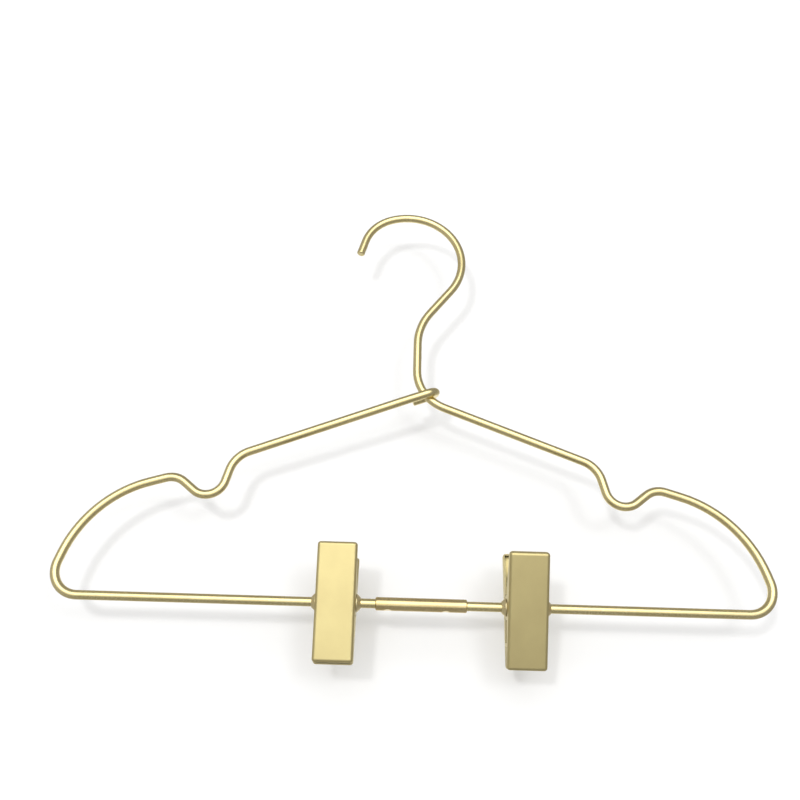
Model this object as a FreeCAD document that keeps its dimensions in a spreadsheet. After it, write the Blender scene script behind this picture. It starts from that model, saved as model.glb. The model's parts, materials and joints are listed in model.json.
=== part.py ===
import FreeCAD, Part
import math
import os
import Sketcher
from FreeCAD import Vector

# Skirt hanger: a bent wire frame with two sprung clips that slide on its bar.
# X runs along the bar, Z up to the hook, and the clips' front faces look along -Y.
# Pieces are drawn about the middle of the bar or about a clip's pivot, and the
# finished part has its origin where the hook sits on a rail.

# Driving sizes in millimetres, angles in degrees.
SIZES = (
    # frame wire: bend points, each given from the one before it, and bend radii
    ("wire_dia", "5"),
    ("half_span", "197"),
    ("corner_bend", "14"),
    ("end_inset", "15"),
    ("end_rise", "54.4"),
    ("end_bend", "62"),
    ("hump_inset", "47"),
    ("hump_rise", "14.5"),
    ("hump_bend", "11.6"),
    ("notch_inset", "23.6"),
    ("notch_drop", "19.1"),
    ("notch_bend", "10.5"),
    ("shoulder_inset", "7.8"),
    ("shoulder_rise", "31.5"),
    ("shoulder_bend", "16.3"),
    ("neck_shift", "0.4"),
    ("neck_rise", "40.7"),
    ("neck_bend", "25.6"),
    ("stem_rise", "48.6"),
    ("stem_bend", "36"),
    # hook: a large round with a tighter round at its end
    ("hook_shift", "7.6"),
    ("hook_rise", "47.3"),
    ("hook_bend", "34.7"),
    ("hook_round_angle", "110"),
    ("hook_end_bend", "25.2"),
    ("hook_end_angle", "54.5"),
    ("hook_tip_run", "10.7"),
    ("tip_break", "0.7"),
    # eye of the left wire round the neck
    ("eye_gap", "0.6"),
    ("eye_rise", "2.4"),
    ("eye_turn_angle", "5"),
    ("eye_lead", "14"),
    ("eye_lead_bend", "60"),
    ("eye_tail", "8"),
    # joining sleeve
    ("sleeve_x", "4.3"),
    ("sleeve_len", "48.5"),
    ("sleeve_wall", "1"),
    ("sleeve_fit", "0.02"),
    ("sleeve_edge", "0.5"),
    ("butt_gap", "1"),
    ("left_dent_inset", "6.6"),
    ("right_dent_inset", "11.2"),
    ("dent_radius", "6"),
    ("dent_depth", "0.42"),
    # clips: places on the bar and how they stand there
    ("left_clip_reach", "40.75"),
    ("right_clip_reach", "59.8"),
    ("left_back_angle", "2.1"),
    ("right_front_angle", "11.9"),
    ("open_angle", "30"),
    ("open_spare_angle", "1.8"),
    # hollow rivet
    ("bar_fit", "0.08"),
    ("rivet_wall", "0.7"),
    ("pin_fit", "0.08"),
    ("head_gap", "0.15"),
    ("head_len", "2.3"),
    ("head_rise", "1.4"),
    ("head_rim", "0.5"),
    ("head_lip", "0.35"),
    ("head_round", "0.6"),
    # jaws
    ("jaw_width", "21.1"),
    ("lever_len", "31.1"),
    ("jaw_len", "30.2"),
    ("tip_depth", "4.25"),
    ("sheet", "0.9"),
    ("face_edge", "1.75"),
    ("rim_depth", "3.2"),
    ("ear_web", "3"),
    ("ear_room", "3.5"),
    ("ear_gap", "0.15"),
    ("notch_room", "0.6"),
    ("vee_room", "0.5"),
    ("gape_half", "1.2"),
    ("slot_half", "2.5"),
    ("slit_half", "0.55"),
    ("nib_at", "18.1"),
    ("nib_len", "2"),
    ("nib_gap", "0.05"),
    # grip pads
    ("pad_len", "6.5"),
    ("pad_end_gap", "0.3"),
    ("pad_side_gap", "0.3"),
    ("pad_face_gap", "0.05"),
    # torsion springs
    ("spring_dia", "1"),
    ("coil_gap", "0.65"),
    ("coil_room", "0.45"),
    ("coil_side_room", "0.8"),
    ("leg_reach", "15.5"),
    ("leg_gap", "0.5"),
    ("curl_radius", "1.35"),
    ("curl_gap", "0.8"),
    # how far every cut runs past what it cuts
    ("overrun", "2"),
)

# Sizes that follow from the driving ones.
FOLLOWING = (
    ("wire_radius", "=wire_dia / 2"),
    ("end_x", "=half_span - end_inset"),
    ("hump_x", "=end_x - hump_inset"),
    ("hump_z", "=end_rise + hump_rise"),
    ("notch_x", "=hump_x - notch_inset"),
    ("notch_z", "=hump_z - notch_drop"),
    ("shoulder_x", "=notch_x - shoulder_inset"),
    ("shoulder_z", "=notch_z + shoulder_rise"),
    ("neck_x", "=-neck_shift"),
    ("neck_z", "=shoulder_z + neck_rise"),
    ("stem_z", "=neck_z + stem_rise"),
    ("hook_x", "=neck_x - hook_shift"),
    ("hook_z", "=stem_z + hook_rise"),
    ("seat_z", "=hook_z + hook_bend - wire_radius"),
    ("left_clip_x", "=-left_clip_reach"),
    ("right_clip_x", "=right_clip_reach"),
    ("left_tilt_angle", "=-left_back_angle"),
    ("right_tilt_angle", "=right_front_angle"),
    ("sleeve_bore", "=wire_radius + sleeve_fit"),
    ("sleeve_radius", "=sleeve_bore + sleeve_wall"),
    ("bore_radius", "=wire_radius + bar_fit"),
    ("rivet_radius", "=bore_radius + rivet_wall"),
    ("head_radius", "=rivet_radius + head_rise"),
    ("hole_radius", "=rivet_radius + pin_fit"),
    ("ear_radius", "=hole_radius + ear_web"),
    ("notch_radius", "=ear_radius + notch_room"),
    ("inside_dist", "=ear_radius + ear_room"),
    ("face_dist", "=inside_dist + sheet"),
    ("jaw_half_angle", "=atan((face_dist - tip_depth) / jaw_len) / 1deg"),
    ("inner_half", "=jaw_width / 2 - sheet"),
    ("ear_out", "=inner_half - ear_gap"),
    ("ear_in", "=ear_out - sheet"),
    ("vee_radius", "=notch_radius + vee_room"),
    ("vee_angle", "=open_angle / 2 + open_spare_angle"),
    ("coil_radius", "=rivet_radius + coil_room + spring_dia / 2"),
    ("coil_half", "=ear_in - coil_side_room - spring_dia / 2"),
    ("coil_turns", "=floor(2 * coil_half / (spring_dia + coil_gap))"),
)

X_AXIS, YZ_PLANE, XZ_PLANE = 0, 5, 4
SHEET = "Sizes"
SIDES = ("left", "right")
FRONT, REAR = -1, 1


def make_sheet(doc):
    sheet = doc.addObject("Spreadsheet::Sheet", SHEET)
    for row, (alias, content) in enumerate(SIZES + FOLLOWING, start=1):
        sheet.set(f"A{row}", alias)
        sheet.set(f"B{row}", content)
        sheet.setAlias(f"B{row}", alias)
    doc.recompute()
    return sheet


def size(alias):
    """An expression for a value of the sheet."""
    return f"{SHEET}.{alias}"


def flipped(expression):
    return f"-({expression})"


# Bent wire

def unit(vector):
    return Vector(vector).normalize()


def rounded_run(corners, bends):
    """Edges of straight runs between corners, joined by tangent arcs of the given radii."""
    edges = []
    here = corners[0]
    for before, corner, after, bend in zip(corners, corners[1:], corners[2:], bends):
        back, onward = unit(before - corner), unit(after - corner)
        half = back.getAngle(onward) / 2
        reach = bend / math.tan(half)
        start, end = corner + back * reach, corner + onward * reach
        middle = corner + unit(back + onward) * (bend / math.sin(half) - bend)
        edges.append(Part.LineSegment(here, start).toShape())
        edges.append(Part.Arc(start, middle, end).toShape())
        here = end
    edges.append(Part.LineSegment(here, corners[-1]).toShape())
    return edges


def tube(edges, radius):
    """A round wire along tangent edges."""
    spine = Part.Wire(edges)
    first = spine.Edges[0]
    ring = Part.makeCircle(radius, first.valueAt(first.FirstParameter), first.tangentAt(first.FirstParameter))
    return spine.makePipeShell([Part.Wire(ring)], True, False)


def broken_end(solid, place, radius):
    """The wire with the rim of the cut end at a place rounded over."""
    rim = min(solid.Edges, key=lambda edge: edge.CenterOfMass.distanceToPoint(place))
    return solid.makeFillet(radius, [rim])


def frame_corners(s, hand):
    """Bend points from the bar's corner to the shoulder, on the right (1) or left (-1)."""
    points = (
        (s.half_span, 0),
        (s.end_x, s.end_rise),
        (s.hump_x, s.hump_z),
        (s.notch_x, s.notch_z),
        (s.shoulder_x, s.shoulder_z),
    )
    return [Vector(hand * x, 0, z) for x, z in points]


def frame_bends(s):
    return [s.corner_bend, s.end_bend, s.hump_bend, s.notch_bend, s.shoulder_bend]


def around(centre, radius, angle):
    """A point of a circle in the frame's plane."""
    turn = math.radians(angle)
    return centre + Vector(math.cos(turn), 0, math.sin(turn)) * radius


def hook_edges(s, stem_top):
    """The hook's arcs and straight tip, and the point where its round begins."""
    centre = Vector(s.hook_x, 0, s.hook_z)
    to_stem = stem_top - centre
    spread = math.degrees(math.acos(s.hook_bend / to_stem.Length))
    entry = math.degrees(math.atan2(to_stem.z, to_stem.x)) + spread
    last = s.hook_round_angle
    leave = around(centre, s.hook_bend, last)
    end_centre = around(centre, s.hook_bend - s.hook_end_bend, last)
    finish = last + s.hook_end_angle
    straight = around(end_centre, s.hook_end_bend, finish)
    tip = around(straight, s.hook_tip_run, finish + 90)
    edges = [
        Part.Arc(
            around(centre, s.hook_bend, entry),
            around(centre, s.hook_bend, (entry + last) / 2),
            leave,
        ).toShape(),
        Part.Arc(leave, around(end_centre, s.hook_end_bend, (last + finish) / 2), straight).toShape(),
        Part.LineSegment(straight, tip).toShape(),
    ]
    return around(centre, s.hook_bend, entry), edges, tip


def neck_corner(s):
    return Vector(s.neck_x, 0, s.neck_z)


def held_point(s):
    """The point of the neck's bend that the left wire's eye holds, a little past its middle."""
    corner = neck_corner(s)
    down = unit(frame_corners(s, 1)[-1] - corner)
    inward = unit(down + Vector(0, 0, 1))
    centre = corner + inward * (s.neck_bend / math.sin(down.getAngle(inward)))
    middle_angle = math.degrees(math.atan2(-inward.z, -inward.x))
    return around(centre, s.neck_bend, middle_angle + s.eye_turn_angle)


def right_wire(s):
    stem_top = Vector(s.neck_x, 0, s.stem_z)
    hook_start, hook, tip = hook_edges(s, stem_top)
    bar_end = Vector(s.sleeve_x + s.butt_gap / 2, 0, 0)
    corners = [bar_end] + frame_corners(s, 1) + [neck_corner(s), stem_top, hook_start]
    bends = frame_bends(s) + [s.neck_bend, s.stem_bend]
    return broken_end(tube(rounded_run(corners, bends) + hook, s.wire_radius), tip, s.tip_break)


def left_wire(s):
    middle = held_point(s)
    shoulder = frame_corners(s, -1)[-1]
    along = unit(middle - shoulder)
    above = Vector(-along.z, 0, along.x)
    reach = Vector(0, s.wire_dia + s.eye_gap, 0) + above * (s.eye_rise / 2)
    front, behind = middle - reach, middle + reach
    bar_end = Vector(s.sleeve_x - s.butt_gap / 2, 0, 0)
    corners = [bar_end] + frame_corners(s, -1) + [front - along * s.eye_lead, front]
    run = rounded_run(corners, frame_bends(s) + [s.eye_lead_bend])
    tail = behind - along * s.eye_tail
    eye = [
        Part.Arc(front, middle + along * reach.Length, behind).toShape(),
        Part.LineSegment(behind, tail).toShape(),
    ]
    return broken_end(tube(run + eye, s.wire_radius), tail, s.tip_break)


# Torsion spring, drawn about the pivot with the clip's middle plane upright

def arc_from(start, heading, end):
    """A circular arc that leaves its start along a heading."""
    chord = end - start
    across = heading - unit(chord) * heading.dot(unit(chord))
    lean = heading.getAngle(chord)
    middle = start + chord / 2 + unit(across) * (chord.Length / 2 * math.tan(lean / 2))
    return Part.Arc(start, middle, end).toShape()


def biarc(start, heading, end, last_heading):
    """Two tangent arcs between two points with given headings."""
    across, both = end - start, heading + last_heading
    bend = 2 * (1 - heading.dot(last_heading))
    along = across.dot(both)
    arm = (math.sqrt(along * along + bend * across.dot(across)) - along) / bend
    joint = (start + heading * arm + end - last_heading * arm) / 2
    leave = unit(joint - start - heading * arm)
    return [arc_from(start, heading, joint), arc_from(joint, leave, end)]


def swept_turns(stations):
    """Biarcs through stations, each a point with a heading."""
    edges = []
    for (start, heading), (end, last_heading) in zip(stations, stations[1:]):
        edges.extend(biarc(start, heading, end, last_heading))
    return edges


def leg_top(s):
    """Where a leg meets the inside of its lever, as distances out and up from the pivot."""
    half = math.radians(s.jaw_half_angle)
    plate = (s.inside_dist + s.leg_reach * math.sin(half)) / math.cos(half)
    return plate - s.spring_dia / 2 - s.leg_gap, s.leg_reach


def curl_stations(s, top, heading):
    """One turn at the top of the rear leg, flat on the lever, drifting inward to clear the leg."""
    across, inward = Vector(1, 0, 0), Vector(0, -heading.z, heading.y)
    centre = top + across * s.curl_radius
    drift = s.spring_dia + s.curl_gap
    stations = []
    for quarter in range(5):
        turn = math.radians(90 * quarter)
        round_it = heading * math.sin(turn) - across * math.cos(turn)
        tangent = across * math.sin(turn) + heading * math.cos(turn)
        slope = drift / (2 * math.pi * s.curl_radius) if quarter else 0
        place = centre + round_it * s.curl_radius + inward * (drift * quarter / 4)
        stations.append((place, unit(tangent + inward * slope)))
    return stations


def turned_half(vector):
    """The same place on the spring's other half, half a turn about the upright."""
    return Vector(-vector.x, -vector.y, vector.z)


def spring_edges(s):
    out, up = leg_top(s)
    span = math.hypot(out, up)
    touch = math.atan2(up, out) - math.acos(s.coil_radius / span)
    foot = Vector(-s.coil_half, s.coil_radius * math.cos(touch), s.coil_radius * math.sin(touch))
    top = Vector(-s.coil_half, out, up)
    rising = unit(top - foot)
    curl = curl_stations(s, top, rising)
    sweep = 2 * touch + math.pi * (2 * int(s.coil_turns) + 1)
    quarters = round(sweep / (math.pi / 2))
    slope = 2 * s.coil_half / (s.coil_radius * sweep)
    coil = [(foot, rising * -1)]
    for step in range(1, quarters):
        share = step / quarters
        angle = touch - sweep * share
        place = Vector(
            s.coil_half * (2 * share - 1),
            s.coil_radius * math.cos(angle),
            s.coil_radius * math.sin(angle),
        )
        coil.append((place, unit(Vector(slope, math.sin(angle), -math.cos(angle)))))
    coil.append((turned_half(foot), turned_half(rising)))
    first_curl = [(place, heading * -1) for place, heading in reversed(curl)]
    last_curl = [(turned_half(place), turned_half(heading)) for place, heading in curl]
    return (
        swept_turns(first_curl)
        + [Part.LineSegment(top, foot).toShape()]
        + swept_turns(coil)
        + [Part.LineSegment(turned_half(foot), turned_half(top)).toShape()]
        + swept_turns(last_curl)
    )


def least_gap(edges, dia):
    """The least clear distance between turns of a wound wire, measured on points."""
    points = []
    for edge in edges:
        points.extend(edge.discretize(Distance=dia / 3)[:-1])
    run = [0]
    for before, after in zip(points, points[1:]):
        run.append(run[-1] + before.distanceToPoint(after))
    apart = 3 * dia
    return min(
        points[i].distanceToPoint(points[j]) - dia
        for i in range(len(points))
        for j in range(i + 1, len(points))
        if run[j] - run[i] > apart
    )


# Sketched pieces

def new_body(doc, label):
    body = doc.addObject("PartDesign::Body", label)
    body.Label = label
    return body


def new_sketch(body, plane):
    sketch = body.newObject("Sketcher::SketchObject", "Sketch")
    sketch.AttachmentSupport = (body.Origin.OriginFeatures[plane], [""])
    sketch.MapMode = "FlatFace"
    return sketch


def hold(sketch, kind, place, expression):
    """A dimension of a sketch that follows an expression."""
    value = float(sketch.evalExpression(expression))
    index = sketch.addConstraint(Sketcher.Constraint(kind, *place, value))
    sketch.setExpression(f"Constraints[{index}]", expression)


def outline(body, plane, corners):
    """A closed outline of straight edges; each corner is a pair of expressions."""
    sketch = new_sketch(body, plane)
    places = [Vector(float(body.evalExpression(u)), float(body.evalExpression(v)), 0) for u, v in corners]
    count = len(places)
    for i in range(count):
        sketch.addGeometry(Part.LineSegment(places[i], places[(i + 1) % count]))
    for i in range(count):
        sketch.addConstraint(Sketcher.Constraint("Coincident", i, 2, (i + 1) % count, 1))
    for i, (u, v) in enumerate(corners):
        hold(sketch, "DistanceX", (-1, 1, i, 1), u)
        hold(sketch, "DistanceY", (-1, 1, i, 1), v)
    return sketch


def disc(body, plane, radius):
    """A circle about the pivot."""
    sketch = new_sketch(body, plane)
    sketch.addGeometry(Part.Circle(Vector(), Vector(0, 0, 1), float(body.evalExpression(radius))))
    sketch.addConstraint(Sketcher.Constraint("Coincident", 0, 3, -1, 1))
    hold(sketch, "Radius", (0,), radius)
    return sketch


def both_ways(body, kind, sketch, length):
    """A pad or pocket that runs the same distance to both sides of its sketch."""
    feature = body.newObject(kind, "Feature")
    feature.Profile = sketch
    feature.SideType = "Symmetric"
    feature.setExpression("Length", length)
    body.Document.recompute()
    return feature


def pad(body, sketch, length):
    return both_ways(body, "PartDesign::Pad", sketch, length)


def pocket(body, sketch, length):
    before = body.Shape.Volume
    feature = both_ways(body, "PartDesign::Pocket", sketch, length)
    if body.Shape.Volume >= before:
        raise RuntimeError(f"{body.Label}: a pocket removed nothing")
    return feature


def revolved(body, corners):
    """A turned piece about X; corners are distances along the axis and out from it."""
    feature = body.newObject("PartDesign::Revolution", "Turned")
    feature.Profile = outline(body, XZ_PLANE, corners)
    feature.ReferenceAxis = (body.Origin.OriginFeatures[X_AXIS], [""])
    body.Document.recompute()
    return feature


def make_sleeve(doc):
    body = new_body(doc, "joining_sleeve")
    end, inner = f"({size('sleeve_len')} / 2)", f"({size('sleeve_len')} / 2 - {size('sleeve_edge')})"
    bore, rim = size("sleeve_bore"), size("sleeve_radius")
    eased = f"{rim} - {size('sleeve_edge')}"
    revolved(body, (
        (flipped(end), bore),
        (end, bore),
        (end, eased),
        (inner, rim),
        (flipped(inner), rim),
        (flipped(end), eased),
    ))
    places = (f"{size('left_dent_inset')} - {end}", f"{end} - {size('right_dent_inset')}")
    for across in places:
        dent = new_sketch(body, XZ_PLANE)
        below = f"{size('dent_depth')} - {rim} - {size('dent_radius')}"
        centre = Vector(float(body.evalExpression(across)), float(body.evalExpression(below)), 0)
        radius = float(body.evalExpression(size("dent_radius")))
        dent.addGeometry(Part.Circle(centre, Vector(0, 0, 1), radius))
        hold(dent, "DistanceX", (-1, 1, 0, 3), across)
        hold(dent, "DistanceY", (-1, 1, 0, 3), below)
        hold(dent, "Radius", (0,), size("dent_radius"))
        pocket(body, dent, f"2 * {rim} + {size('overrun')}")
    return body


def make_rivet(doc, label, s):
    body = new_body(doc, label)
    root = f"({size('jaw_width')} / 2 + {size('head_gap')})"
    rim, mouth = f"({root} + {size('head_rim')})", f"({root} + {size('head_len')})"
    bore, wall, head = size("bore_radius"), size("rivet_radius"), size("head_radius")
    lip = f"({bore} + {size('head_lip')})"
    blank = revolved(body, (
        (flipped(mouth), bore),
        (mouth, bore),
        (mouth, lip),
        (rim, head),
        (root, head),
        (root, wall),
        (flipped(root), wall),
        (flipped(root), head),
        (flipped(rim), head),
        (flipped(mouth), lip),
    ))
    rounds = body.newObject("PartDesign::Fillet", "HeadEdges")
    rounds.Base = (blank, head_edges(blank.Shape, s))
    rounds.setExpression("Radius", size("head_round"))
    doc.recompute()
    return body


def head_edges(shape, s):
    """The outer of the two edges round each of a rivet's heads."""
    middle = s.jaw_width / 2 + s.head_gap + s.head_rim / 2
    curves = [(f"Edge{number}", edge.Curve) for number, edge in enumerate(shape.Edges, start=1)]
    rings = [(name, curve) for name, curve in curves if isinstance(curve, Part.Circle)]
    return [name for name, ring in rings if ring.Radius > s.rivet_radius and abs(ring.Center.x) > middle]


# A jaw is drawn with its face upright: Z along the face, Y out of it on its own side.

def from_middle(up, out):
    """A corner given along and out from the clip's middle plane, as the jaw stands when closed."""
    half = size("jaw_half_angle")
    away = f"(({out}) * cos({half}) - ({up}) * sin({half}))"
    along = f"(({up}) * cos({half}) + ({out}) * sin({half}))"
    return away, along


def on_middle(along, out):
    """Distance out of the pivot's axis of the point at a height on the jaw, near the middle plane."""
    half = size("jaw_half_angle")
    return f"((({out}) - ({along}) * sin({half})) / cos({half}))"


def facing(side, corners):
    return [(away if side == REAR else flipped(away), along) for away, along in corners]


def jaw_outline(side):
    """Side view of a pressed jaw: face, rims, and the edge that nearly meets the other jaw."""
    face, lever, tip = size("face_dist"), size("lever_len"), flipped(size("jaw_len"))
    gape, slot, slit, nib = size("gape_half"), size("slot_half"), size("slit_half"), size("nib_gap")
    nib_top, nib_low = flipped(size("nib_at")), f"-({size('nib_at')} + {size('nib_len')})"
    ear_low = f"{slit} - {size('ear_radius')}"
    vee, lean = size("vee_radius"), size("vee_angle")
    return facing(side, (
        (face, lever),
        (face, tip),
        (on_middle(tip, gape), tip),
        from_middle(nib_low, gape),
        from_middle(nib_low, nib),
        from_middle(nib_top, nib),
        from_middle(nib_top, slot),
        from_middle(ear_low, slot),
        from_middle(ear_low, slit),
        from_middle(f"{vee} * cos({lean})", f"{vee} * sin({lean})"),
        (f"{face} - {size('rim_depth')}", lever),
    ))


def rectangle(side, near, far, low, high):
    return facing(side, ((near, low), (far, low), (far, high), (near, high)))


def face_edges(shape, behind):
    """Edges round a jaw's face and the corners that run back from it: those that reach past behind."""
    return [
        f"Edge{number}"
        for number, edge in enumerate(shape.Edges, start=1)
        if any(abs(vertex.Y) > behind for vertex in edge.Vertexes)
    ]


def make_jaw(doc, label, side, s):
    body = new_body(doc, label)
    width, inner = size("jaw_width"), f"2 * {size('inner_half')}"
    blank = pad(body, outline(body, YZ_PLANE, jaw_outline(side)), width)
    rounds = body.newObject("PartDesign::Fillet", "FaceEdges")
    rounds.Base = (blank, face_edges(blank.Shape, s.inside_dist))
    rounds.setExpression("Radius", size("face_edge"))
    doc.recompute()
    if side == FRONT:
        pad(body, disc(body, YZ_PLANE, size("ear_radius")), width)
    else:
        pocket(body, disc(body, YZ_PLANE, size("notch_radius")), width)
    floor, past = size("inside_dist"), f"-({size('ear_radius')} + {size('overrun')})"
    low, high = f"{size('sheet')} - {size('jaw_len')}", f"{size('lever_len')} - {size('sheet')}"
    pocket(body, outline(body, YZ_PLANE, rectangle(side, floor, past, low, high)), inner)
    if side == REAR:
        ear, into = size("ear_radius"), f"{floor} + {size('sheet')} / 2"
        clear = f"{ear} + {size('overrun')}"
        pad(body, disc(body, YZ_PLANE, ear), f"2 * {size('ear_out')}")
        neck = rectangle(side, into, flipped(f"{ear} / 2"), flipped(f"{ear} / 2"), f"{ear} / 2")
        pad(body, outline(body, YZ_PLANE, neck), f"2 * {size('ear_out')}")
        between = rectangle(side, floor, past, flipped(clear), clear)
        pocket(body, outline(body, YZ_PLANE, between), f"2 * {size('ear_in')}")
    pocket(body, disc(body, YZ_PLANE, size("hole_radius")), width)
    return body


def make_pad(doc, label, side):
    body = new_body(doc, label)
    low = f"({size('sheet')} + {size('pad_end_gap')} - {size('jaw_len')})"
    high = f"({low} + {size('pad_len')})"
    floor, gap = size("inside_dist"), size("pad_face_gap")
    corners = ((floor, low), (floor, high), (on_middle(high, gap), high), (on_middle(low, gap), low))
    across = f"2 * ({size('inner_half')} - {size('pad_side_gap')})"
    pad(body, outline(body, YZ_PLANE, facing(side, corners)), across)
    return body


# Places

def wound_piece(doc, label, shape):
    """A bent or wound wire, whose shape is set from the sheet's sizes."""
    piece = doc.addObject("Part::Feature", label)
    piece.Label = label
    piece.Shape = shape
    return piece


def place(piece, x, angle="0"):
    """Stands a piece on the bar at x, turned about the bar, with the part's origin at the rail."""
    turned = FreeCAD.Rotation(Vector(1, 0, 0), float(piece.evalExpression(angle)))
    piece.Placement = FreeCAD.Placement(Vector(), turned)
    piece.setExpression(".Placement.Base.x", f"{x} - {size('hook_x')}")
    piece.setExpression(".Placement.Base.z", flipped(size("seat_z")))
    piece.setExpression(".Placement.Rotation.Angle", angle)


def make_clip(doc, s, hand):
    """The six pieces of a clip, standing at its place on the bar."""
    spring = tube(spring_edges(s), s.spring_dia / 2)
    tilt, half = size(f"{hand}_tilt_angle"), size("jaw_half_angle")
    leaning = {FRONT: f"{tilt} + {half}", REAR: f"{tilt} - {half}"}
    pieces = [
        (make_jaw(doc, f"{hand}_front_jaw", FRONT, s), leaning[FRONT]),
        (make_jaw(doc, f"{hand}_rear_jaw", REAR, s), leaning[REAR]),
        (make_pad(doc, f"{hand}_front_pad", FRONT), leaning[FRONT]),
        (make_pad(doc, f"{hand}_rear_pad", REAR), leaning[REAR]),
        (make_rivet(doc, f"{hand}_rivet", s), tilt),
        (wound_piece(doc, f"{hand}_spring", spring), tilt),
    ]
    for piece, angle in pieces:
        place(piece, size(f"{hand}_clip_x"), angle)
    return [piece for piece, _ in pieces]


def make_frame(doc, s):
    pieces = [
        wound_piece(doc, "right_frame_wire", right_wire(s)),
        wound_piece(doc, "left_frame_wire", left_wire(s)),
    ]
    for piece in pieces:
        place(piece, "0")
    sleeve = make_sleeve(doc)
    place(sleeve, size("sleeve_x"))
    return pieces + [sleeve]


def write_parts(doc, pieces):
    """Checks every object, then writes one file for each piece."""
    doc.recompute()
    for item in doc.Objects:
        if "Invalid" in item.State or "Error" in item.State:
            raise RuntimeError(f"{item.Label}: {item.State}")
    os.makedirs("parts", exist_ok=True)
    for piece in pieces:
        if piece.Shape.isNull() or not piece.Shape.isValid() or len(piece.Shape.Solids) != 1:
            raise RuntimeError(f"{piece.Label}: not one valid solid")
        piece.Shape.exportStep(f"parts/{piece.Label}.step")
        print(f"{piece.Label}: {piece.Shape.Volume:.1f} mm3")


def main():
    doc = FreeCAD.newDocument("skirt_hanger")
    sheet = make_sheet(doc)
    pieces = make_frame(doc, sheet)
    for hand in SIDES:
        pieces += make_clip(doc, sheet, hand)
    print(f"least gap of a spring to itself: {least_gap(spring_edges(sheet), sheet.spring_dia):.2f} mm")
    write_parts(doc, pieces)


main()
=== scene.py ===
import json
import math

import bmesh
import bpy
from mathutils import Matrix, Vector

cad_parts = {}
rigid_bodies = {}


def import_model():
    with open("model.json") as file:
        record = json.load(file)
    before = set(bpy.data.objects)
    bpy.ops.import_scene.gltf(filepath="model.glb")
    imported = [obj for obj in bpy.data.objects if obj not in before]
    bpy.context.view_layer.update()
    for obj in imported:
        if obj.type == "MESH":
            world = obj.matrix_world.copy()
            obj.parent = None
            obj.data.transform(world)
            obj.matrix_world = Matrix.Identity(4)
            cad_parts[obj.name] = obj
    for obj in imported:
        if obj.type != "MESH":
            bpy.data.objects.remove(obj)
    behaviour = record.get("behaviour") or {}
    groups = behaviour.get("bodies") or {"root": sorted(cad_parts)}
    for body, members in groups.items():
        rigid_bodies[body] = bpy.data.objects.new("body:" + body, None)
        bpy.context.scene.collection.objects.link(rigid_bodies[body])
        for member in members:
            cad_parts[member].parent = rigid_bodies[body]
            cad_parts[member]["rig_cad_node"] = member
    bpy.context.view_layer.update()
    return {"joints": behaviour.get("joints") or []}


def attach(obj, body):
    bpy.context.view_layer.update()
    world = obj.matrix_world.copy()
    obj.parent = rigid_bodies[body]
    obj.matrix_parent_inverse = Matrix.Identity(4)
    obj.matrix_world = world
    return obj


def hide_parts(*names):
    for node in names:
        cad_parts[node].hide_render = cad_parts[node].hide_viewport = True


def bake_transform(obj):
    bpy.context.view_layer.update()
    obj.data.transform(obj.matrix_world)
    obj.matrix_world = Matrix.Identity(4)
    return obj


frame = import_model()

MM = 0.001
HANDS = ("left", "right")
FRONT, REAR = -1, 1
PIVOT = {
    hand: Vector(joint["pos_m"])
    for hand in HANDS
    for joint in frame["joints"]
    if joint["name"] == f"{hand}_jaw_open"
}

# Clip sizes in millimetres, about the clip's pivot with the clip upright.
TILT = {"left": math.radians(-2.1), "right": math.radians(11.9)}
JAW_LEN, TIP_DEPTH, FACE_DIST, INSIDE_DIST = 30.2, 4.25, 10.76, 9.86
JAW_HALF_ANGLE = math.atan2(FACE_DIST - TIP_DEPTH, JAW_LEN)
PAD_LOW, PAD_HIGH = -29.0, -22.5
PAD_HALF = 9.35
PAD_FACE_GAP = 0.05
PAD_EDGE, PAD_EDGE_STEPS, PAD_EDGE_ANGLE = 0.12, 2, math.radians(50)
# A pad's rounded ends: how far in from the end, and how far the face is at least pulled back there.
PAD_END = ((0, 0.9), (0.15, 0.5), (0.45, 0.2), (0.9, 0))
RIBS, RIB_DEPTH, RIB_STEPS = 5, 0.5, 10
SPRING_RADIUS = 0.5
COIL_RADIUS, COIL_HALF, COIL_TURNS = 4.23, 7.3, 8
LEG_REACH, LEG_GAP = 15.5, 0.5
CURL_RADIUS, CURL_DRIFT = 1.35, 1.8

# How finely the spring's wire is drawn.
WIRE_SIDES, WIRE_END_ROUND = 14, 0.35
CURL_STEPS, LEG_STEPS, COIL_STEP = 25, 8, math.radians(14)

# Noise seldom leaves these two values.
NOISE_LOW, NOISE_HIGH = 0.3, 0.7

# Metal: noise scales per metre, what grain and wear do to the gloss, and the grain's strength and depth.
PATCH_SCALE, TONE_SCALE, TONE_DETAIL = 420, 70, 4
GRAIN_GLOSS, WORN_GLOSS = 0.03, -0.08
METAL_BUMP, METAL_GRAIN = 0.1, 0.03 * MM
# Wear along edges: how far the surface is turned at an edge and off it, and the least wear there.
EDGE_TURNED, EDGE_FLAT, EDGE_LEAST = 0.86, 0.995, 0.35
# Wear in patches: the most of it, and the noise at which it starts and is full.
PATCH_MOST, PATCH_START, PATCH_FULL = 0.5, 0.6, 0.75
# Painted shade in hollows: the darkest painted shade, the openness at which it is reached, and that at
# which there is none.
HOLLOW_PAINTED_SHADE, HOLLOW_SHUT, HOLLOW_OPEN = 0.3, 0.35, 0.75

# Rubber: noise scales per metre, least and most roughness, and the grain's strength and depth.
RUBBER_GRAIN_SCALE, RUBBER_TONE_SCALE, RUBBER_DETAIL = 2200, 240, 3
RUBBER_SMOOTH, RUBBER_ROUGH = 0.62, 0.8
RUBBER_BUMP, RUBBER_GRAIN = 0.35, 0.08 * MM

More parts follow.
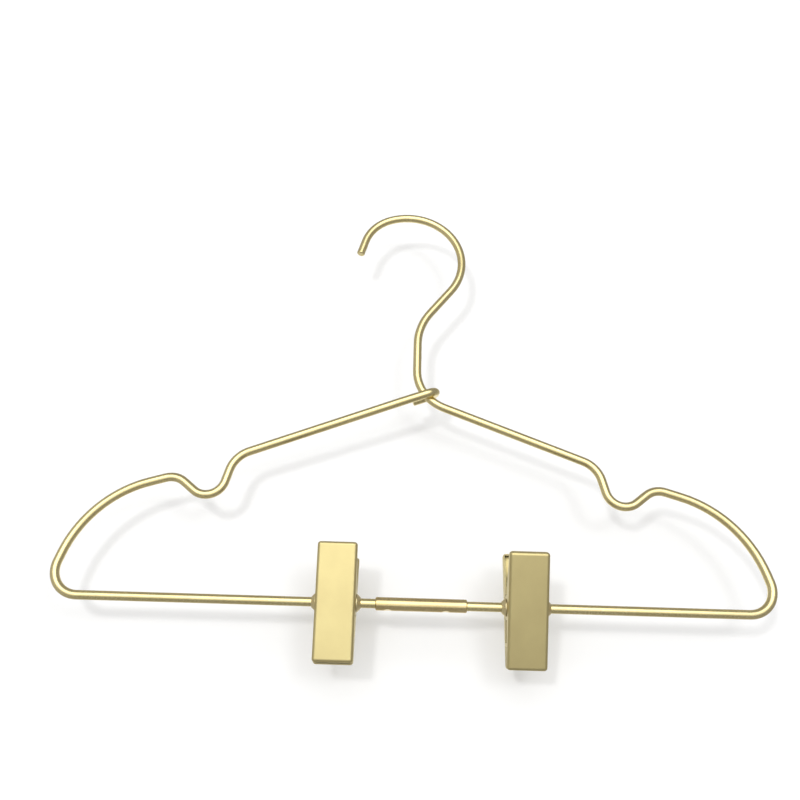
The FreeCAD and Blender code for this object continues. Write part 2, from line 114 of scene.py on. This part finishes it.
# Stage, in metres.
TABLE_BEHIND, TABLE_REACH = 0.034, 2.0
TABLE_CORNERS = ((-1, -1), (1, -1), (1, 1), (-1, 1))
TABLE_COLOUR = (0.86, 0.86, 0.86, 1)
ROOM_FRONT, ROOM_BACK, ROOM_REACH, ROOM_SIDES = -1.75, 2.2, 1.5, 48
ROOM_DIM, ROOM_PALE = (0.3, 0.295, 0.305, 1), (0.58, 0.57, 0.57, 1)
SKY_WHITE, SKY_LIGHT = (1, 1, 1, 1), 0.65

# How much the table is whitened by its distance from the rail seat, and how pale the room is along its
# axes: the value at the start, the value at the end, the start and the end.
TABLE_LIFT = (0.12, 0.6, 0.5, 1.2)
PALE_OVER = (0.55, 0, ROOM_FRONT, -1)
PALE_LEFT = (0.6, 0, -ROOM_REACH, -0.5)
PALE_BEHIND = (0, 0.5, 0.2, 1.2)

# Lamps: place, what they face, width and height in metres, watts, and whether the metal mirrors them.
LAMPS = {
    "key": ((-0.4, -1.45, -0.15), (0, 0, -0.2), 0.13, 0.13, 4, False),
    "fill": ((0.5, -1.4, -0.12), (0, 0, -0.2), 0.3, 0.3, 2.2, False),
    "window": ((-0.05, -1.6, 0.22), (0, 0, -0.22), 1.8, 1.3, 8.6, True),
}

# The photograph's camera.
CAMERA_AT = Vector((-0.00167, -0.4485, -0.3444))
CAMERA_FORWARD = Vector((-0.00103, 0.90231, 0.43108))
CAMERA_ROLL = math.radians(1.727)
CAMERA_LENS, CAMERA_SENSOR = 37.82, 36
CAMERA_NEAR, CAMERA_FAR = 0.01, 20


# Node helpers

def node(tree, kind, inputs=None, **settings):
    made = tree.nodes.new("ShaderNode" + kind)
    for key, value in settings.items():
        setattr(made, key, value)
    for key, value in (inputs or {}).items():
        if isinstance(value, bpy.types.NodeSocket):
            tree.links.new(value, made.inputs[key])
        else:
            made.inputs[key].default_value = value
    return made


def new_material(name):
    made = bpy.data.materials.new(name)
    made.use_nodes = True
    made.node_tree.nodes.clear()
    return made, made.node_tree


def maths(tree, operation, first, second):
    return node(tree, "Math", {0: first, 1: second}, operation=operation).outputs[0]


def noise(tree, place, scale, detail=2):
    return node(tree, "TexNoise", {"Vector": place, "Scale": scale, "Detail": detail}).outputs[0]


def between(tree, value, low, high, start=NOISE_LOW, end=NOISE_HIGH):
    """A value that goes from low to high while another goes from start to end."""
    ends = {"Value": value, "From Min": start, "From Max": end, "To Min": low, "To Max": high}
    return node(tree, "MapRange", ends).outputs[0]


def tones(tree, value, dark, light):
    ramp = node(tree, "ValToRGB", {"Fac": value})
    for stop, at, colour in zip(ramp.color_ramp.elements, (NOISE_LOW, NOISE_HIGH), (dark, light)):
        stop.position = at
        stop.color = (*colour, 1)
    return ramp.outputs[0]


def blended(tree, share, first, second, how="MIX"):
    inputs = {0: share, 6: first, 7: second}
    return node(tree, "Mix", inputs, data_type="RGBA", blend_type=how).outputs[2]


def bumped(tree, strength, depth, height):
    return node(tree, "Bump", {"Strength": strength, "Distance": depth, "Height": height}).outputs[0]


def edges(tree, radius, grain):
    """How near a point is to an outer edge, broken up by the grain."""
    rounded = node(tree, "Bevel", {"Radius": radius}, samples=6).outputs[0]
    flat = node(tree, "NewGeometry").outputs["Normal"]
    turned = node(tree, "VectorMath", {0: rounded, 1: flat}, operation="DOT_PRODUCT").outputs["Value"]
    near = between(tree, turned, 1, 0, EDGE_TURNED, EDGE_FLAT)
    return maths(tree, "MULTIPLY", near, between(tree, grain, EDGE_LEAST, 1))


def painted_hollow_shade(tree, colour, reach):
    """A colour darkened with painted shade in corners and slots, where little light gets in."""
    # Painted shade: ambient occlusion darkens the colour where the surface is closed in.
    open_share = node(tree, "AmbientOcclusion", {"Distance": reach}, samples=8).outputs["AO"]
    shade = between(tree, open_share, HOLLOW_PAINTED_SHADE, 1, HOLLOW_SHUT, HOLLOW_OPEN)
    return blended(tree, 1, colour, shade, how="MULTIPLY")


def metal(name, dark, light, worn, rough, grain_scale, lines=(1, 1, 1), edge=0.7 * MM, shade_reach=0):
    """Satin metal: mottled tone, fine grain in gloss and surface, brighter and smoother where it is rubbed,
    which is along its edges or, on round wire, in small patches, and darkened by painted shade in hollows
    where it has any."""
    made, tree = new_material(name)
    place = node(tree, "TexCoord").outputs["Object"]
    drawn = node(tree, "Mapping", {"Vector": place, "Scale": lines}).outputs[0]
    grain = noise(tree, drawn, grain_scale)
    patches = noise(tree, place, PATCH_SCALE)
    if edge:
        wear = edges(tree, edge, patches)
    else:
        wear = between(tree, patches, 0, PATCH_MOST, PATCH_START, PATCH_FULL)
    tone = tones(tree, noise(tree, place, TONE_SCALE, TONE_DETAIL), dark, light)
    colour = blended(tree, wear, tone, (*worn, 1))
    gloss = between(tree, grain, rough - GRAIN_GLOSS, rough + GRAIN_GLOSS)
    bsdf = node(tree, "BsdfPrincipled", {
        # Painted shade darkens the colour in hollows when a reach is given.
        "Base Color": painted_hollow_shade(tree, colour, shade_reach) if shade_reach else colour,
        "Metallic": 1,
        "Roughness": maths(tree, "ADD", gloss, between(tree, wear, 0, WORN_GLOSS, 0, 1)),
        "Normal": bumped(tree, METAL_BUMP, METAL_GRAIN, grain),
    })
    node(tree, "OutputMaterial", {"Surface": bsdf.outputs[0]})
    return made


def rubber(name, dark, light):
    made, tree = new_material(name)
    place = node(tree, "TexCoord").outputs["Object"]
    grain = noise(tree, place, RUBBER_GRAIN_SCALE, RUBBER_DETAIL)
    bsdf = node(tree, "BsdfPrincipled", {
        "Base Color": tones(tree, noise(tree, place, RUBBER_TONE_SCALE, RUBBER_DETAIL), dark, light),
        "Roughness": between(tree, grain, RUBBER_SMOOTH, RUBBER_ROUGH),
        "Normal": bumped(tree, RUBBER_BUMP, RUBBER_GRAIN, grain),
    })
    node(tree, "OutputMaterial", {"Surface": bsdf.outputs[0]})
    return made


# Mesh helpers

def piece_from(name, verts, faces, material):
    mesh = bpy.data.meshes.new(name)
    mesh.from_pydata(verts, [], faces)
    made = bmesh.new()
    made.from_mesh(mesh)
    bmesh.ops.recalc_face_normals(made, faces=made.faces)
    made.to_mesh(mesh)
    made.free()
    mesh.materials.append(material)
    piece = bpy.data.objects.new(name, mesh)
    bpy.context.scene.collection.objects.link(piece)
    return piece


def sides_between(rings, sides):
    """Faces from each ring of points to the next."""
    faces = []
    for low in range(0, (rings - 1) * sides, sides):
        for k in range(sides):
            after = (k + 1) % sides
            faces.append((low + k, low + after, low + sides + after, low + sides + k))
    return faces


def closed_skin(rings, sides):
    """Faces of a skin over rings of points, with a cap on either end."""
    last = (rings - 1) * sides
    caps = [tuple(range(sides)), tuple(last + k for k in reversed(range(sides)))]
    return caps + sides_between(rings, sides)


def wire(name, path, radius, material):
    """A round wire along a path, its section carried along without twist and its ends a little rounded."""
    headings = [(b - a).normalized() for a, b in zip(path, path[1:])]
    inner = [(a + b).normalized() for a, b in zip(headings, headings[1:])]
    tangents = [headings[0], *inner, headings[-1]]
    stations = list(zip(path, tangents, [radius] * len(path)))
    round_end = WIRE_END_ROUND * radius
    stations.insert(0, (path[0] - tangents[0] * round_end, tangents[0], radius - round_end))
    stations.append((path[-1] + tangents[-1] * round_end, tangents[-1], radius - round_end))
    side = tangents[0].orthogonal().normalized()
    verts = []
    for centre, tangent, reach in stations:
        side = (side - tangent * side.dot(tangent)).normalized()
        other = tangent.cross(side)
        for k in range(WIRE_SIDES):
            turn = 2 * math.pi * k / WIRE_SIDES
            verts.append(centre + (side * math.cos(turn) + other * math.sin(turn)) * reach)
    piece = piece_from(name, verts, closed_skin(len(stations), WIRE_SIDES), material)
    for face in piece.data.polygons:
        is_cap = len(face.vertices) == WIRE_SIDES
        face.use_smooth = not is_cap
    return piece


def on_clip(hand, points, lean=0.0):
    """Points about an upright clip's pivot in millimetres, leaned and put where the clip hangs."""
    leaned = Matrix.Rotation(TILT[hand] + lean, 4, "X")
    place = Matrix.Translation(PIVOT[hand]) @ leaned @ Matrix.Scale(MM, 4)
    return [place @ Vector(p) for p in points]


# Springs and pads

def spring_path():
    """From the rear leg's curl down to the coil, round the rivet and up to the front leg's curl."""
    plate = (INSIDE_DIST + LEG_REACH * math.sin(JAW_HALF_ANGLE)) / math.cos(JAW_HALF_ANGLE)
    out = plate - SPRING_RADIUS - LEG_GAP
    touch = math.atan2(LEG_REACH, out) - math.acos(COIL_RADIUS / math.hypot(out, LEG_REACH))
    foot = Vector((-COIL_HALF, COIL_RADIUS * math.cos(touch), COIL_RADIUS * math.sin(touch)))
    top = Vector((-COIL_HALF, out, LEG_REACH))
    rising = (top - foot).normalized()
    across, inward = Vector((1, 0, 0)), Vector((0, -rising.z, rising.y))
    leg = []
    for step in range(CURL_STEPS, 0, -1):
        turn = 2 * math.pi * step / CURL_STEPS
        ring = across * (1 - math.cos(turn)) + rising * math.sin(turn)
        leg.append(top + ring * CURL_RADIUS + inward * (CURL_DRIFT * step / CURL_STEPS))
    leg.extend(top.lerp(foot, step / LEG_STEPS) for step in range(LEG_STEPS))
    sweep = 2 * touch + math.pi * (2 * COIL_TURNS + 1)
    steps = round(sweep / COIL_STEP)
    coil = []
    for step in range(steps + 1):
        turn = touch - sweep * step / steps
        along = COIL_HALF * (2 * step / steps - 1)
        coil.append(Vector((along, COIL_RADIUS * math.cos(turn), COIL_RADIUS * math.sin(turn))))
    other_leg = [Vector((-p.x, -p.y, p.z)) for p in reversed(leg)]
    return leg + coil + other_leg


def make_spring(hand, material):
    spring = wire(f"{hand}_wound_spring", on_clip(hand, spring_path()), SPRING_RADIUS * MM, material)
    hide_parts(f"{hand}_spring")
    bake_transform(spring)


def pad_section(side, pulled):
    """A pad's outline seen from the side: flat on its jaw, ribbed towards the other pad."""
    floor = INSIDE_DIST * side
    outline = [(floor, PAD_HIGH), (floor, PAD_LOW)]
    steps = RIBS * RIB_STEPS
    for step in range(steps + 1):
        share = step / steps
        up = PAD_LOW + (PAD_HIGH - PAD_LOW) * share
        middle = (PAD_FACE_GAP - up * math.sin(JAW_HALF_ANGLE)) / math.cos(JAW_HALF_ANGLE)
        groove = RIB_DEPTH * (0.5 - 0.5 * math.cos(2 * math.pi * (RIBS * share + 0.5)))
        outline.append((side * (middle + max(groove, pulled)), up))
    return outline


def make_pad(hand, part, side, material):
    stations = [(inset - PAD_HALF, pulled) for inset, pulled in PAD_END]
    stations += [(-along, pulled) for along, pulled in reversed(stations)]
    verts = [(along, out, up) for along, pulled in stations for out, up in pad_section(side, pulled)]
    placed = on_clip(hand, verts, lean=-side * JAW_HALF_ANGLE)
    faces = closed_skin(len(stations), len(verts) // len(stations))
    pad = piece_from(f"{hand}_{part}_ribbed_pad", placed, faces, material)
    pad.data.shade_smooth()
    soft = pad.modifiers.new("soft edges", "BEVEL")
    soft.width = PAD_EDGE * MM
    soft.segments = PAD_EDGE_STEPS
    soft.limit_method = "ANGLE"
    soft.angle_limit = PAD_EDGE_ANGLE
    pad.modifiers.new("even shading", "WEIGHTED_NORMAL")
    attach(pad, f"{hand}_{part}")
    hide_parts(f"{hand}_{part}_pad")


# Finishes

gold_wire = metal(
    "gold_wire", dark=(0.86, 0.73, 0.36), light=(0.93, 0.80, 0.42), worn=(0.96, 0.88, 0.58),
    rough=0.26, grain_scale=2600, edge=0)
# The clip's colour carries painted shade in its slots and inner corners, up to 5 mm deep.
gold_clip = metal(
    "gold_clip", dark=(0.72, 0.61, 0.295), light=(0.77, 0.66, 0.32), worn=(0.90, 0.80, 0.50),
    rough=0.44, grain_scale=3200, shade_reach=5 * MM)
brass_sleeve = metal(
    "brass_sleeve", dark=(0.80, 0.64, 0.31), light=(0.88, 0.72, 0.37), worn=(0.95, 0.84, 0.54),
    rough=0.25, grain_scale=3000, lines=(0.03, 1, 1))
plated_rivet = metal(
    "plated_rivet", dark=(0.84, 0.71, 0.38), light=(0.91, 0.79, 0.46), worn=(0.95, 0.90, 0.70),
    rough=0.4, grain_scale=2400)
spring_steel = metal(
    "spring_steel", dark=(0.66, 0.65, 0.62), light=(0.80, 0.79, 0.76), worn=(0.92, 0.92, 0.90),
    rough=0.22, grain_scale=3000, edge=0)
grip_rubber = rubber("grip_rubber", dark=(0.035, 0.032, 0.028), light=(0.06, 0.055, 0.048))

FINISH = {
    "right_frame_wire": gold_wire,
    "left_frame_wire": gold_wire,
    "joining_sleeve": brass_sleeve,
    "front_jaw": gold_clip,
    "rear_jaw": gold_clip,
    "rivet": plated_rivet,
    "spring": spring_steel,
    "front_pad": grip_rubber,
    "rear_pad": grip_rubber,
}
for cad_piece in [o for o in bpy.context.scene.objects if "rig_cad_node" in o]:
    kind = cad_piece["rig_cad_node"]
    finish = FINISH.get(kind) or FINISH[kind.split("_", 1)[1]]
    if not cad_piece.material_slots:
        cad_piece.data.materials.append(finish)
    for held in cad_piece.material_slots:
        held.material = finish

for hand in HANDS:
    make_spring(hand, spring_steel)
    make_pad(hand, "front", FRONT, grip_rubber)
    make_pad(hand, "rear", REAR, grip_rubber)


# Stage, light and camera

def staged(name, verts, faces, material):
    made = piece_from(name, verts, faces, material)
    return made


def table_paint():
    """White for the camera with the shadow left in it; seen from behind it lets the hanger show."""
    made, tree = new_material("table_white")
    seen = node(tree, "LightPath").outputs["Is Camera Ray"]
    matt = node(tree, "BsdfDiffuse", {"Color": TABLE_COLOUR})
    place = node(tree, "TexCoord").outputs["Object"]
    away = node(tree, "VectorMath", {0: place}, operation="LENGTH").outputs["Value"]
    white = between(tree, away, *TABLE_LIFT)
    lift = node(tree, "Emission", {"Strength": maths(tree, "MULTIPLY", seen, white)})
    both = node(tree, "AddShader", {0: matt.outputs[0], 1: lift.outputs[0]})
    behind = node(tree, "NewGeometry").outputs["Backfacing"]
    clear = node(tree, "BsdfTransparent")
    sided = node(tree, "MixShader", {0: behind, 1: both.outputs[0], 2: clear.outputs[0]})
    node(tree, "OutputMaterial", {"Surface": sided.outputs[0]})
    return made


def room_paint():
    """A dim room round the table, paler towards the lamps over it, to the left and behind."""
    made, tree = new_material("dim_room")
    place = node(tree, "TexCoord").outputs["Object"]
    across, away = node(tree, "SeparateXYZ", {"Vector": place}).outputs[:2]
    over = between(tree, away, *PALE_OVER)
    left = between(tree, across, *PALE_LEFT)
    behind = between(tree, away, *PALE_BEHIND)
    level = maths(tree, "MAXIMUM", maths(tree, "MAXIMUM", over, left), behind)
    glow = node(tree, "Emission", {"Color": blended(tree, level, ROOM_DIM, ROOM_PALE)})
    node(tree, "OutputMaterial", {"Surface": glow.outputs[0]})
    return made


def make_table():
    corners = [(TABLE_REACH * x, TABLE_BEHIND, TABLE_REACH * z) for x, z in TABLE_CORNERS]
    top = staged("table", corners, [(0, 1, 2, 3)], table_paint())
    top.visible_glossy = False
    if top.data.polygons[0].normal.y > 0:
        top.data.flip_normals()


def make_room():
    """The room round the table, which only the metal mirrors."""
    verts = []
    for out in (ROOM_FRONT, ROOM_BACK):
        for k in range(ROOM_SIDES):
            turn = 2 * math.pi * k / ROOM_SIDES
            verts.append((ROOM_REACH * math.cos(turn), out, ROOM_REACH * math.sin(turn)))
    room = staged("dim_room", verts, sides_between(2, ROOM_SIDES), room_paint())
    room.visible_camera = False
    room.visible_diffuse = False
    room.visible_shadow = False
    room.visible_transmission = False


def make_lamp(name, at, aim, wide, high, power, mirrored):
    light = bpy.data.lights.new(name, "AREA")
    light.shape = "RECTANGLE"
    light.size, light.size_y = wide, high
    light.energy = power
    lamp = bpy.data.objects.new(name, light)
    lamp.location = at
    lamp.rotation_mode = "QUATERNION"
    lamp.rotation_quaternion = (Vector(aim) - Vector(at)).to_track_quat("-Z", "Y")
    lamp.visible_glossy = mirrored
    bpy.context.scene.collection.objects.link(lamp)


def make_world():
    """White where it is seen, itself or in the metal, and a softer light on everything else."""
    world = bpy.data.worlds.new("studio")
    world.use_nodes = True
    tree = world.node_tree
    tree.nodes.clear()
    path = node(tree, "LightPath").outputs
    shown = maths(tree, "MAXIMUM", path["Is Camera Ray"], path["Is Glossy Ray"])
    shown = maths(tree, "MAXIMUM", shown, path["Is Transmission Ray"])
    strength = between(tree, shown, SKY_LIGHT, 1, 0, 1)
    sky = node(tree, "Background", {"Color": SKY_WHITE, "Strength": strength})
    node(tree, "OutputWorld", {"Surface": sky.outputs[0]})
    bpy.context.scene.world = world


def make_camera():
    data = bpy.data.cameras.new("camera")
    data.sensor_width = CAMERA_SENSOR
    data.lens = CAMERA_LENS
    data.clip_start, data.clip_end = CAMERA_NEAR, CAMERA_FAR
    camera = bpy.data.objects.new("camera", data)
    aimed = CAMERA_FORWARD.to_track_quat("-Z", "Y").to_matrix().to_4x4()
    camera.matrix_world = Matrix.Translation(CAMERA_AT) @ aimed @ Matrix.Rotation(CAMERA_ROLL, 4, "Z")
    bpy.context.scene.collection.objects.link(camera)
    bpy.context.scene.camera = camera


make_table()
make_room()
make_world()
for name, lamp in LAMPS.items():
    make_lamp(name, *lamp)
make_camera()
bpy.context.scene.view_settings.view_transform = "Standard"
